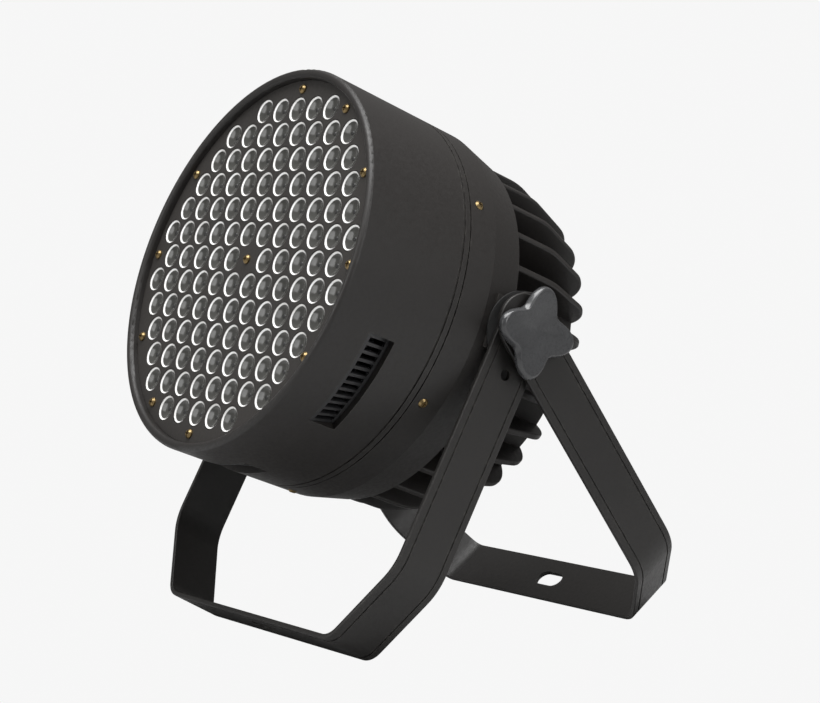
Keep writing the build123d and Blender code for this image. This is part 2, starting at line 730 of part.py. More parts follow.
def signal_output():
    """Receptacle side: three holes in a solid face, and a slot for the release tab."""
    face = rear_wall_depth
    groove = tube(socket_bore_radius, socket_bore_radius - 1.2, face - 12, face + 3)
    holes = [cylinder(1.3, face - 10, face + 3, x, y) for x, y in contact_circle()]
    slot = block(tab_size[0] + 2 * button_clearance, tab_size[1] + 2 * button_clearance,
                 face - 6, face + 3, 0, tab_offset)
    return socket_blank() - groove - holes - slot


def release_tab():
    """The thumb tab that lets a plug out."""
    face = rear_wall_depth
    return block(*tab_size, face - 3.5, face + 4.5, 0, tab_offset)


def power_inlet():
    face = rear_wall_depth
    plate = (at_depth(face + inlet_flange_thickness)
             * extrude(RectangleRounded(*inlet_flange, corner_round), inlet_flange_thickness))
    body = block(*inlet_body, face - 26, face + 1)
    well = block(*inlet_recess, face - 17, face + 4, 0, inlet_recess_height)
    blades = [block(2, 4, face - 18, face - 3, x, inlet_recess_height + dy)
              for x, dy in ((-7, -1.5), (0, 2.5), (7, -1.5))]
    bay = block(drawer_size[0] + 2 * button_clearance, drawer_size[1] + 2 * button_clearance,
                face - 23, face + 4, 0, drawer_height)
    holes = [cylinder(tiny_screw[0] + pass_clearance, face - 1, face + 4, 0, dy)
             for dy in inlet_screw_offsets]
    return plate + body - well - bay - holes + blades


def fuse_drawer():
    """A small drawer that holds the fuse, with a lip for a fingertip."""
    face = rear_wall_depth
    box = block(*drawer_size, face - 22, face + 3.3, 0, drawer_height)
    pocket = block(drawer_size[0] - 4, drawer_size[1], face - 20, face - 4, 0, drawer_height + 2)
    lip = block(10, 1.6, face + 3, face + 4.6, 0, drawer_height + drawer_size[1] / 2 - 1.2)
    return box - pocket + lip


def fuse():
    """A cartridge fuse lying in the drawer's pocket."""
    floor_y = drawer_height - drawer_size[1] / 2 + 2.0
    centre = Pos(0, floor_y + fuse_radius, -(rear_wall_depth - 12))
    lie = Rot(0, 90, 0)
    glass = centre * lie * Cylinder(fuse_radius - 0.4, 9.0)
    caps = [centre * Pos(side * 5.75, 0, 0) * lie * Cylinder(fuse_radius, 2.5)
            for side in (-1, 1)]
    return glass, caps


# ---------------------------------------------------------------- yokes
def yoke_line(leg_outside, drop, corner_drop, depth):
    """One yoke's right half seen from the front, moved inwards by a depth from its outside."""
    turn = atan2(corner_drop, corner_side)
    leg_shift = depth * tan((radians(90) - turn) / 2)
    bar_shift = depth * tan(turn / 2)
    return [(leg_outside - depth, ear_rise),
            (leg_outside - depth, corner_drop - drop + leg_shift),
            (leg_outside - corner_side - bar_shift, depth - drop)]


def bar_section(leg_outside, drop, corner_drop, outer_depth, inner_depth):
    """A face between two depths of the yoke's line, its bends on common centres."""
    outer = yoke_line(leg_outside, drop, corner_drop, outer_depth)
    inner = yoke_line(leg_outside, drop, corner_drop, inner_depth)
    corners = outer + [(-x, z) for x, z in outer[::-1]] + [(-x, z) for x, z in inner] + inner[::-1]
    face = make_face(Polyline(*corners, close=True))
    for line, depth in ((outer, outer_depth), (inner, inner_depth)):
        for (x, z), radius in zip(line[1:], (leg_bend, bar_bend)):
            bends = [v for v in face.vertices() if hypot(abs(v.X) - x, v.Y - z) < 0.001]
            face = fillet(bends, radius + bar_thickness - depth)
    return face


def on_rim(edge):
    """Whether an edge runs along a side of the bar or round the end of an ear."""
    middle = edge @ 0.5
    if edge.geom_type == GeomType.CIRCLE and abs(edge.radius - half_bar) < 0.01:
        return middle.Z > ear_rise
    return abs(abs(middle.Y) - half_bar) < 0.01 and edge.bounding_box().size.Y < 0.01


def yoke(leg_outside, drop, corner_drop, with_locator):
    line = (leg_outside, drop, corner_drop)
    bar = extrude(Plane.XZ * bar_section(*line, 0, bar_thickness), half_bar, both=True)
    middle = leg_outside - bar_thickness / 2
    ears = [Pos(side * middle, 0, ear_rise) * Rot(0, 90, 0) * Cylinder(half_bar, bar_thickness)
            for side in (-1, 1)]
    bar = bar + ears
    bar = fillet([e for e in bar.edges() if on_rim(e)], bar_edge)
    groove = Plane.XZ * bar_section(*line, -1, bar_groove_depth)
    offset = half_bar - bar_groove_inset
    cuts = [Pos(0, side * offset, 0) * extrude(groove, bar_groove_width / 2, both=True)
            for side in (-1, 1)]
    through = 2 * leg_outside + 10
    cuts.append(Rot(0, 90, 0) * Cylinder(pivot_hole_radius, through))
    cuts.append(Pos(0, 0, -drop) * extrude(SlotOverall(slot_length, slot_width),
                                           2 * bar_thickness, both=True))
    if with_locator:
        cuts.append(Pos(0, 0, -locator_drop) * Rot(0, 90, 0)
                    * Cylinder(locator_hole_radius, through))
    return bar - cuts


# ---------------------------------------------------------------- pivots and knobs
def on_side(side, shape, distance):
    """Stand a +Z shape on the tilt axis, pointing outwards, at a distance from the middle."""
    return Pos(side * distance, 0, -pivot_depth) * Rot(0, 90 * side, 0) * shape


def pivot_disc(inner, outer, thickness):
    return extrude(Circle(outer) - Circle(inner), thickness)


def pivot_bush():
    bore = bolt_radius + bolt_bore_clearance
    return extrude(Circle(bush_radius) - Circle(bore), bush_length)


def knob_outline():
    """Four round lobes joined by concave arcs."""
    centre = knob_tip_radius - knob_lobe_radius
    arcs = []
    for index in range(4):
        turn = Rot(0, 0, 90 * index)
        waist = Vector(knob_waist_radius, 0).rotate(Axis.Z, 45)
        arcs.append(turn * ThreePointArc((centre, -knob_lobe_radius), (knob_tip_radius, 0),
                                         (centre, knob_lobe_radius)))
        arcs.append(turn * ThreePointArc((centre, knob_lobe_radius), waist,
                                         (knob_lobe_radius, centre)))
    return make_face(arcs)


def knob():
    """Base at Z = 0, crown at knob_thickness."""
    body = extrude(knob_outline(), knob_thickness)
    return fillet(body.faces().sort_by(Axis.Z)[-1].edges(), knob_edge)


washer_base = outer_leg_outside + clamp_gap
knob_base = washer_base + clamp_washer_thickness
bolt_tip = pad_face - bush_length + 2.0
bolt_length = knob_base + knob_thickness * knob_bolt_share - bolt_tip


# ---------------------------------------------------------------- assembly
def build():
    keep("front_shroud", front_place, front_shroud())
    for name, angle in zip(("right", "bottom", "left"), vent_angles):
        keep(f"vent_screen_{name}", front_place, vent_screen(angle))
    keep("face_plate", front_place, face_plate())
    gold = screw(small_screw)
    keep("face_plate_screws", front_place, *[Pos(x, y, 0) * gold for x, y in
         ring_of(plate_screw_circle, plate_screw_angles)])
    keep("centre_screw", front_place, gold)
    spacer_bore = shank_hole(small_screw, plate_thickness, small_screw[3] + 1, 0, 0)
    keep("centre_spacer", front_place,
         cylinder(spacer_radius, plate_thickness, led_board_depth) - spacer_bore)
    optic, cup, source = lens(), lens_holder(), led()
    keep("lenses", front_place, *[Pos(x, y, 0) * optic for x, y in lens_spots])
    keep("lens_holders", front_place, *[Pos(x, y, 0) * cup for x, y in lens_spots])
    keep("light_sources", front_place, *[Pos(x, y, 0) * source for x, y in lens_spots])
    keep("led_board", front_place, led_board())
    board_screw = at_depth(led_board_depth) * screw(tiny_screw)
    keep("led_board_screws", front_place, *[Pos(x, y, 0) * board_screw
                                          for x, y in board_screw_spots])
    keep("heat_sink", front_place, heat_sink())
    sink_screw = at_depth(sink_rear) * Rot(180, 0, 0) * screw(small_screw, sink_screw_length)
    keep("heat_sink_screws", front_place, *[Pos(x, y, 0) * sink_screw for x, y in
         ring_of(plate_screw_circle, sink_screw_angles)])
    keep("fan_frame", front_place, fan_frame())
    keep("fan_rotor", front_place, fan_rotor())
    spot = fan_screw_spacing / 2
    fan_screw = at_depth(fan_rear) * Rot(180, 0, 0) * screw(medium_screw, fan_thickness + 9)
    keep("fan_screws", front_place, *[Pos(sx * spot, sy * spot, 0) * fan_screw
                                    for sx in (-1, 1) for sy in (-1, 1)])

    keep("rear_housing", can_place, rear_housing())
    keep("seam_gasket", can_place, tube(spigot_radius, spigot_radius - spigot_wall,
                                        seam_depth + spigot_length, web_front))
    ring_screw = Pos(0, 0, can_radius - ring_screw_sink) * screw(small_screw, 6.0)
    keep("shroud_screws", can_place, *[radial(ring_screw, angle, seam_depth + ring_screw_depth)
                                       for angle in ring_screw_angles])

    keep("chassis_plate", can_place, chassis_plate())
    keep("chassis_pillars", can_place, *[pillar(x, y)
                                         for x, y in ring_of(pillar_circle, pillar_angles)])
    chassis_screw = at_depth(chassis_depth) * screw(small_screw)
    keep("chassis_screws", can_place, *[Pos(x, y, 0) * chassis_screw for x, y in
         ring_of(pillar_circle, pillar_angles)])
    keep("power_supply_board", can_place, supply_board())
    keep("power_supply_parts", can_place, *supply_parts())
    keep("power_supply_standoffs", can_place,
         *[standoff(chassis_depth + chassis_thickness, supply_front, x, y)
           for x, y in supply_spots])
    supply_screw = at_depth(supply_rear) * Rot(180, 0, 0) * screw(tiny_screw)
    keep("power_supply_screws", can_place, *[Pos(x, y, 0) * supply_screw
                                             for x, y in supply_spots])

    keep("control_board", can_place, control_board())
    keep("control_parts", can_place, *control_parts())
    keep("control_standoffs", can_place, *[standoff(control_rear, panel_inner, x, y)
                                           for x, y in control_spots])
    control_screw = at_depth(control_board_depth) * screw(tiny_screw)
    panel_tiny = at_depth(rear_wall_depth) * Rot(180, 0, 0) * screw(tiny_screw, 3.5)
    keep("control_screws", can_place, *[Pos(x, y, 0) * part for x, y in control_spots
                                        for part in (control_screw, panel_tiny)])
    keep("rear_panel", can_place, rear_panel())
    panel_screw = at_depth(rear_wall_depth) * Rot(180, 0, 0) * screw(small_screw, 5.0)
    keep("rear_panel_screws", can_place, *[Pos(x, y, 0) * panel_screw for x, y in
         ring_of(panel_screw_circle, panel_screw_angles)])
    keep("display_window", can_place, display_window())
    for index, (x, y) in enumerate(button_spots):
        keep(f"menu_button_{index + 1}", can_place, menu_button(x, y))
    left, right = socket_spots
    keep("signal_input_socket", can_place, Pos(*left, 0) * signal_input())
    keep("signal_output_socket", can_place, Pos(*right, 0) * signal_output())
    keep("signal_release_tab", can_place, Pos(*right, 0) * release_tab())
    socket_screw = (at_depth(rear_wall_depth + socket_flange_thickness) * Rot(180, 0, 0)
                    * screw(tiny_screw))
    keep("socket_screws", can_place, *[Pos(x + dx, y + dy, 0) * socket_screw
                                       for x, y in socket_spots
                                       for dx, dy in socket_screw_offsets])
    keep("power_inlet", can_place, Pos(0, inlet_height, 0) * power_inlet())
    keep("fuse_drawer", can_place, Pos(0, inlet_height, 0) * fuse_drawer())
    glass, caps = fuse()
    keep("fuse", can_place, Pos(0, inlet_height, 0) * (glass + caps))
    inlet_screw = (at_depth(rear_wall_depth + inlet_flange_thickness) * Rot(180, 0, 0)
                   * screw(tiny_screw, 5.5))
    keep("inlet_screws", can_place, *[Pos(0, inlet_height + dy, 0) * inlet_screw
                                      for dy in inlet_screw_offsets])

    inner_disc = pivot_disc(pivot_hole_radius, disc_radius, disc_thickness)
    keep("pivot_discs", can_place, *[on_side(side, inner_disc, pad_face) for side in (-1, 1)])
    keep("pivot_bushes", can_place, *[on_side(side, pivot_bush(), pad_face - bush_length)
                                      for side in (-1, 1)])
    keep("front_yoke", front_yoke_place,
         yoke(inner_leg_outside, inner_drop, front_corner_drop, True))
    liner = pivot_disc(pivot_hole_radius, liner_radius, liner_thickness)
    keep("yoke_liners", can_place, *[on_side(side, liner, inner_leg_outside)
                                     for side in (-1, 1)])
    keep("rear_yoke", rear_yoke_place,
         yoke(outer_leg_outside, outer_drop, rear_corner_drop, False))
    washer = pivot_disc(pivot_hole_radius, clamp_washer_radius, clamp_washer_thickness)
    for name, side in (("right", 1), ("left", -1)):
        keep(f"clamp_washer_{name}", can_place, on_side(side, washer, washer_base))
        bolt = on_side(side, extrude(Circle(bolt_radius), bolt_length), bolt_tip)
        body = on_side(side, Rot(0, 0, side * (180 + knob_turn)) * knob(), knob_base)
        keep(f"knob_{name}", can_place, body - bolt)
        keep(f"knob_bolt_{name}", can_place, bolt)


build()
os.makedirs("parts", exist_ok=True)
for name, shape in nodes.items():
    export_step(shape, f"parts/{name}.step")

print("nodes", len(nodes))
print("pivot at y", round(pivot_y, 3), "z", round(pivot_height, 3))
print("rear yoke lean", round(rear_lean, 3))
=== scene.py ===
import json
from math import atan2, cos, hypot, pi, radians, sin

import bmesh
import bpy
from mathutils import Matrix, Vector


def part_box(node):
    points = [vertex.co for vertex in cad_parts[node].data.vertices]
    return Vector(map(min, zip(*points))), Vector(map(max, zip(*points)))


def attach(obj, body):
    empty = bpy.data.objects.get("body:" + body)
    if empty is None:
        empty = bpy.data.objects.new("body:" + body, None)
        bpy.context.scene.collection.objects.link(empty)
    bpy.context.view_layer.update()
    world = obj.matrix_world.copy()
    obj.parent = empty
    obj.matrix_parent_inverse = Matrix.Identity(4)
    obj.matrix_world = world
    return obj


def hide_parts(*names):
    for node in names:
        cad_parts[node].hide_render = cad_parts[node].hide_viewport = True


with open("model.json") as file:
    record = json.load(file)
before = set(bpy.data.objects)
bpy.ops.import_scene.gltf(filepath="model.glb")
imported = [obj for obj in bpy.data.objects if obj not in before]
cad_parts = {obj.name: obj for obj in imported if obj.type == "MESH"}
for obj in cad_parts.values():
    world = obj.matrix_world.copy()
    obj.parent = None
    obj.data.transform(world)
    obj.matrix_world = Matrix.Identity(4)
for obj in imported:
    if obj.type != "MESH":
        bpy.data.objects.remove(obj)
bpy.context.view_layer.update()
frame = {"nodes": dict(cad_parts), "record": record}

# A par can stage light on a double yoke, in metres.  The imported frame carries the castings,
# yokes, fasteners and inner parts.  This file gives them their finishes, models the lens
# inserts and the star knobs, and sets up the studio.

bl_info = {
    "name": "Par can stage light",
    "version": (1, 0, 0),
    "blender": (4, 5, 0),
    "location": "3D View > Sidebar > Par can",
    "description": "Finishes, lens inserts, star knobs and studio for a par can light",
    "category": "Add Mesh",
}

joints = {joint["name"]: joint for joint in frame["record"]["behaviour"]["joints"]}
beam = Vector(joints["fan_spin"]["axis"]).normalized()
pivot = Vector(joints["front_yoke_tilt"]["pos_m"])
across = Vector((1.0, 0.0, 0.0))
upward = beam.cross(across).normalized()
can_turn = Matrix((across, upward, beam)).transposed().to_4x4()


# ---------------------------------------------------------------- sizes and colours
def length(name, text, default):
    return bpy.props.FloatProperty(name=name, description=text, default=default,
                                   min=0.0, unit="LENGTH", precision=5)


def colour(name, text, default):
    return bpy.props.FloatVectorProperty(name=name, description=text, default=default,
                                         size=3, min=0.0, max=1.0, subtype="COLOR")


def share(name, text, default):
    return bpy.props.FloatProperty(name=name, description=text, default=default,
                                   min=0.0, max=1.0, subtype="FACTOR")


class ParCanLensSizes(bpy.types.PropertyGroup):
    crest_radius: length("Crest radius", "Highest circle of each insert's rim", 0.0077)
    rim_inside: length("Rim inside", "Where the rim meets the bowl", 0.0067)
    rim_rise: length("Rim rise", "Rim crest above the flange", 0.0004)
    bowl_depth: length("Bowl depth", "Middle of the bowl below the flange", 0.0021)
    bowl_shoulder: length("Bowl shoulder", "Radius where the bowl's wall eases", 0.0048)
    bowl_floor: length("Bowl floor", "Radius of the bowl's flat middle", 0.0026)
    flange_edge: length("Flange edge", "Thickness of the flange", 0.0015)
    dot_radius: length("Dot radius", "Moulded dimple over the light source", 0.0014)
    cone_depth: length("Cone depth", "Length of the collimating cone", 0.0095)
    tip_radius: length("Tip radius", "End of the collimating cone", 0.0030)
    segments: bpy.props.IntProperty(name="Segments", description="Sides of each insert",
                                    default=20, min=8, max=64)


class ParCanKnobSizes(bpy.types.PropertyGroup):
    face_waist: length("Face waist", "Radius of the front face between two lobes", 0.0150)
    foot_waist: length("Foot waist", "Radius of the foot between two lobes", 0.0195)
    edge_round: length("Edge rounding", "Rounded border of the front face", 0.0016)
    dish_depth: length("Dish depth", "Hollow in the middle of the front face", 0.0017)
    lobe_crown: length("Lobe crown", "Lobes above the hollows between them", 0.0009)
    turn: bpy.props.FloatProperty(name="Turn", description="First lobe from the beam",
                                  default=radians(4.5), subtype="ANGLE")


class ParCanColours(bpy.types.PropertyGroup):
    coat: colour("Casting coat", "Satin powder coat of the two castings",
                 (0.0125, 0.0108, 0.0098))
    bar_coat: colour("Yoke coat", "Satin powder coat of the yokes", (0.0118, 0.0106, 0.0097))
    plate_coat: colour("Plate coat", "Matt coat of the face plate", (0.018, 0.0155, 0.0135))
    # painted highlight: a lighter colour put on sharp edges for the bright lines that light
    # draws along them
    edge_highlight_tone: colour("Worn edge", "Coat where edges are rubbed", (0.060, 0.056, 0.051))
    zinc_gold: colour("Screw gold", "Yellow zinc on the screws", (0.30, 0.215, 0.10))
    steel: colour("Steel", "Zinc plated steel", (0.46, 0.46, 0.47))
    knob: colour("Knob", "Glossy moulded knob", (0.040, 0.041, 0.043))
    rubber: colour("Rubber", "Gaskets and friction discs", (0.018, 0.018, 0.018))
    plastic: colour("Plastic", "Moulded black parts", (0.016, 0.016, 0.017))
    # painted highlight: the rims of the clear inserts are coloured near white for the light they
    # catch
    rim: colour("Insert rim", "Bright rim of each lens insert", (0.86, 0.85, 0.83))
    bowl: colour("Insert bowl", "Bowl of each insert", (0.050, 0.050, 0.046))
    bare: colour("Bare aluminium", "Machined aluminium", (0.62, 0.63, 0.65))


class ParCanStageSizes(bpy.types.PropertyGroup):
    lens_mm: bpy.props.FloatProperty(name="Focal length", description="Camera lens",
                                     default=86.658, unit="CAMERA")
    pale: share("Backdrop", "Brightness of floor and backdrop", 0.925)
    ambient: bpy.props.FloatProperty(name="Ambient", description="Light from all round",
                                     default=0.24, min=0.0)
    key_power: bpy.props.FloatProperty(name="Key power", description="Overhead soft box",
                                       default=42.0, min=0.0, unit="POWER")
    fill_power: bpy.props.FloatProperty(name="Fill power", description="Side soft box",
                                        default=11.0, min=0.0, unit="POWER")
    front_power: bpy.props.FloatProperty(name="Front power", description="Front soft box",
                                         default=12.0, min=0.0, unit="POWER")


# ---------------------------------------------------------------- materials
class Shading:
    """A material's node tree, with short calls for the nodes that the finishes share."""

    def __init__(self, name):
        self.material = bpy.data.materials.new(name)
        self.material.use_nodes = True
        self.nodes = self.material.node_tree.nodes
        self.links = self.material.node_tree.links
        self.shader = self.nodes["Principled BSDF"]
        self.place = self.nodes.new("ShaderNodeTexCoord").outputs["Object"]

    def link(self, source, target):
        self.links.new(source, target)

    def noise(self, scale, detail=3.0, roughness=0.55):
        node = self.nodes.new("ShaderNodeTexNoise")
        node.inputs["Scale"].default_value = scale
        node.inputs["Detail"].default_value = detail
        node.inputs["Roughness"].default_value = roughness
        self.link(self.place, node.inputs["Vector"])
        return node.outputs["Fac"]

    def cells(self, scale):
        node = self.nodes.new("ShaderNodeTexVoronoi")
        node.inputs["Scale"].default_value = scale
        self.link(self.place, node.inputs["Vector"])
        return node.outputs["Distance"]

    def stretch(self, value, low, high, out_low, out_high):
        node = self.nodes.new("ShaderNodeMapRange")
        for socket, number in (("From Min", low), ("From Max", high),
                               ("To Min", out_low), ("To Max", out_high)):
            node.inputs[socket].default_value = number
        self.link(value, node.inputs["Value"])
        return node.outputs["Result"]

    def blend(self, factor, first, second):
        node = self.nodes.new("ShaderNodeMix")
        node.data_type = "RGBA"
        self.link(factor, node.inputs["Factor"])
        for socket, value in zip(("A", "B"), (first, second)):
            target = [s for s in node.inputs if s.name == socket and s.type == "RGBA"][0]
            if hasattr(value, "node"):
                self.link(value, target)
            else:
                target.default_value = (*value, 1.0)
        return [s for s in node.outputs if s.type == "RGBA"][0]

    def painted_edge_mask(self):
        """Mask of the painted edge highlight: 1 on sharp edges, broken up by grain, 0 on the
        flats.
        """
        rounded = self.nodes.new("ShaderNodeBevel")
        rounded.samples = 4
        rounded.inputs["Radius"].default_value = 0.0009
        geometry = self.nodes.new("ShaderNodeNewGeometry")
        lean = self.nodes.new("ShaderNodeVectorMath")
        lean.operation = "DOT_PRODUCT"
        self.link(rounded.outputs["Normal"], lean.inputs[0])
        self.link(geometry.outputs["Normal"], lean.inputs[1])
        raised = self.stretch(lean.outputs["Value"], 0.995, 0.90, 0.0, 1.0)
        grain = self.stretch(self.noise(260.0, 4.0), 0.45, 0.66, 0.0, 1.0)
        node = self.nodes.new("ShaderNodeMath")
        node.operation = "MULTIPLY"
        self.link(raised, node.inputs[0])
        self.link(grain, node.inputs[1])
        return node.outputs["Value"]

    def bump(self, height, strength, distance):
        node = self.nodes.new("ShaderNodeBump")
        node.inputs["Strength"].default_value = strength
        node.inputs["Distance"].default_value = distance
        self.link(height, node.inputs["Height"])
        self.link(node.outputs["Normal"], self.shader.inputs["Normal"])

    def paint(self, colour_output):
        self.link(colour_output, self.shader.inputs["Base Color"])

    def rough(self, value, low, high):
        self.link(self.stretch(value, 0.3, 0.7, low, high), self.shader.inputs["Roughness"])

    def fixed(self, **values):
        for name, value in values.items():
            self.shader.inputs[name.replace("_", " ")].default_value = value


def tint(base, factor):
    return tuple(min(1.0, channel * factor) for channel in base)


def powder_coat(name, base, edge_highlight_tone, grain=1500.0, rough=(0.44, 0.56)):
    """Sprayed satin coat: fine orange peel, cloudy tone, painted highlight along outer edges."""
    shade = Shading(name)
    cloudy = shade.stretch(shade.noise(9.0, 4.0), 0.3, 0.7, 0.0, 1.0)
    tone = shade.blend(cloudy, tint(base, 0.86), tint(base, 1.14))
    # the edge mask paints the lighter edge colour on sharp edges as a highlight
    shade.paint(shade.blend(shade.painted_edge_mask(), tone, edge_highlight_tone))
    shade.rough(shade.noise(420.0, 2.0), *rough)
    shade.bump(shade.noise(grain, 2.0, 0.6), 0.22, 0.00016)
    shade.fixed(Specular_IOR_Level=0.5)
    return shade.material


def plated(name, base, rough=(0.28, 0.42)):
    """Zinc plating: brushed tone with darker pits."""
    shade = Shading(name)
    mottle = shade.stretch(shade.noise(900.0, 4.0), 0.35, 0.65, 0.0, 1.0)
    shade.paint(shade.blend(mottle, tint(base, 0.62), tint(base, 1.12)))
    shade.rough(shade.noise(1300.0), *rough)
    shade.bump(shade.noise(2200.0), 0.15, 0.00006)
    shade.fixed(Metallic=0.92)
    return shade.material


def moulded(name, base, rough=(0.34, 0.5), coat=0.0):
    """Moulded plastic with a fine spark-eroded grain."""
    shade = Shading(name)
    haze = shade.stretch(shade.noise(60.0, 3.0), 0.3, 0.7, 0.0, 1.0)
    shade.paint(shade.blend(haze, tint(base, 0.85), tint(base, 1.2)))
    shade.rough(shade.noise(500.0), *rough)
    shade.bump(shade.cells(2600.0), 0.12, 0.00005)
    shade.fixed(Coat_Weight=coat, Coat_Roughness=0.12)
    return shade.material


def clear(name, base):
    """Clear moulded optic."""
    shade = Shading(name)
    haze = shade.stretch(shade.noise(120.0), 0.3, 0.7, 0.0, 1.0)
    shade.paint(shade.blend(haze, tint(base, 0.94), base))
    shade.rough(shade.noise(700.0), 0.05, 0.14)
    shade.fixed(Transmission_Weight=0.9, IOR=1.49)
    return shade.material


def circuit_board(name, base, track):
    """Solder resist with lighter copper areas showing through."""
    shade = Shading(name)
    areas = shade.stretch(shade.cells(160.0), 0.18, 0.22, 0.0, 1.0)
    shade.paint(shade.blend(areas, track, base))
    shade.rough(shade.noise(400.0), 0.3, 0.42)
    shade.bump(areas, 0.2, 0.00005)
    return shade.material


def make_materials():
    tones = bpy.context.scene.par_can_colours
    # colour of the painted edge highlight
    edge_highlight_tone = tuple(tones.edge_highlight_tone)
    made = {
        "housing_black": powder_coat("casting_coat", tuple(tones.coat), edge_highlight_tone),
        "yoke_black": powder_coat("yoke_coat", tuple(tones.bar_coat), edge_highlight_tone, 1800.0, (0.4, 0.52)),
        "plate_black": powder_coat("plate_coat", tuple(tones.plate_coat), edge_highlight_tone, 1300.0,
                                   (0.55, 0.68)),
        "screw_gold": plated("screw_gold_zinc", tuple(tones.zinc_gold)),
        "screw_steel": plated("steel_zinc", tuple(tones.steel)),
        "clear_optic": clear("clear_polymer", (0.93, 0.94, 0.95)),
        "optic_holder": moulded("holder_plastic", tint(tuple(tones.plastic), 2.0)),
        "light_source": moulded("emitter_dome", (0.80, 0.72, 0.30), (0.15, 0.25), 0.5),
        "board_green": circuit_board("board_green_resist", (0.012, 0.075, 0.032),
                                     (0.03, 0.16, 0.07)),
        "board_white": circuit_board("board_white_resist", (0.72, 0.72, 0.70),
                                     (0.58, 0.58, 0.56)),
        "bare_aluminium": plated("bare_aluminium", tuple(tones.bare), (0.34, 0.48)),
        "black_plastic": moulded("black_plastic", tuple(tones.plastic)),
        "knob_plastic": moulded("knob_gloss", tuple(tones.knob), (0.24, 0.33), 0.45),
        "black_rubber": moulded("black_rubber", tuple(tones.rubber), (0.62, 0.78)),
        "component_mix": moulded("component_cases", (0.045, 0.045, 0.06), (0.35, 0.5)),
        "button_grey": moulded("button_grey", (0.075, 0.075, 0.08), (0.4, 0.52)),
        "insert_rim_painted_highlight": moulded("insert_rim_painted_highlight", tuple(tones.rim), (0.16, 0.26), 0.4),
        "insert_bowl": moulded("insert_bowl", tuple(tones.bowl), (0.14, 0.24), 0.3),
        "insert_dot": moulded("insert_dot", (0.008, 0.008, 0.008), (0.3, 0.4)),
    }
    return made


materials = {}


# ---------------------------------------------------------------- modelling helpers
def deselect():
    if bpy.context.object and bpy.context.object.mode != "OBJECT":
        bpy.ops.object.mode_set(mode="OBJECT")
    bpy.ops.object.select_all(action="DESELECT")


def select_faces(keep):
    """Select the faces of the mesh being edited that pass a test of centre and normal."""
    mesh = bmesh.from_edit_mesh(bpy.context.object.data)
    for item in list(mesh.verts) + list(mesh.edges) + list(mesh.faces):
        item.select_set(False)
    for face in mesh.faces:
        if keep(face.calc_center_median(), face.normal):
            face.select_set(True)
    mesh.select_flush_mode()
    bmesh.update_edit_mesh(bpy.context.object.data)


def select_points(keep):
    """Select the points of the mesh being edited that pass a test of place."""
    mesh = bmesh.from_edit_mesh(bpy.context.object.data)
    for item in list(mesh.faces) + list(mesh.edges) + list(mesh.verts):
        item.select_set(False)
    for point in mesh.verts:
        point.select_set(keep(point.co))
    mesh.select_flush_mode()
    bmesh.update_edit_mesh(bpy.context.object.data)


def finish_piece(piece, place, body):
    """Put the place into the mesh, and hand the piece to its body."""
    if bpy.context.object.mode != "OBJECT":
        bpy.ops.object.mode_set(mode="OBJECT")
    deselect()
    piece.select_set(True)
    bpy.context.view_layer.objects.active = piece
    piece.matrix_world = place
    bpy.ops.object.transform_apply(location=True, rotation=True, scale=True)
    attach(piece, body)


# ---------------------------------------------------------------- lens inserts
def lens_places():
    """Middle of each lens flange, its front face, and the flange's radius."""
    source = frame["nodes"]["lenses"].data
    mesh = bmesh.new()
    mesh.from_mesh(source)
    bmesh.ops.remove_doubles(mesh, verts=mesh.verts, dist=1e-6)
    places, seen, radius = [], set(), 0.0
    for start in mesh.verts:
        if start.index in seen:
            continue
        group, queue = [], [start]
        seen.add(start.index)
        while queue:
            point = queue.pop()
            group.append(point.co)
            for edge in point.link_edges:
                other = edge.other_vert(point)
                if other.index not in seen:
                    seen.add(other.index)
                    queue.append(other)
        spots = [((co - pivot).dot(across), (co - pivot).dot(upward), (co - pivot).dot(beam))
                 for co in group]
        lows = [min(values) for values in zip(*spots)]
        highs = [max(values) for values in zip(*spots)]
        radius = max(radius, (highs[1] - lows[1]) / 2)
        places.append(((lows[0] + highs[0]) / 2, (lows[1] + highs[1]) / 2, highs[2]))
    mesh.free()
    return places, radius


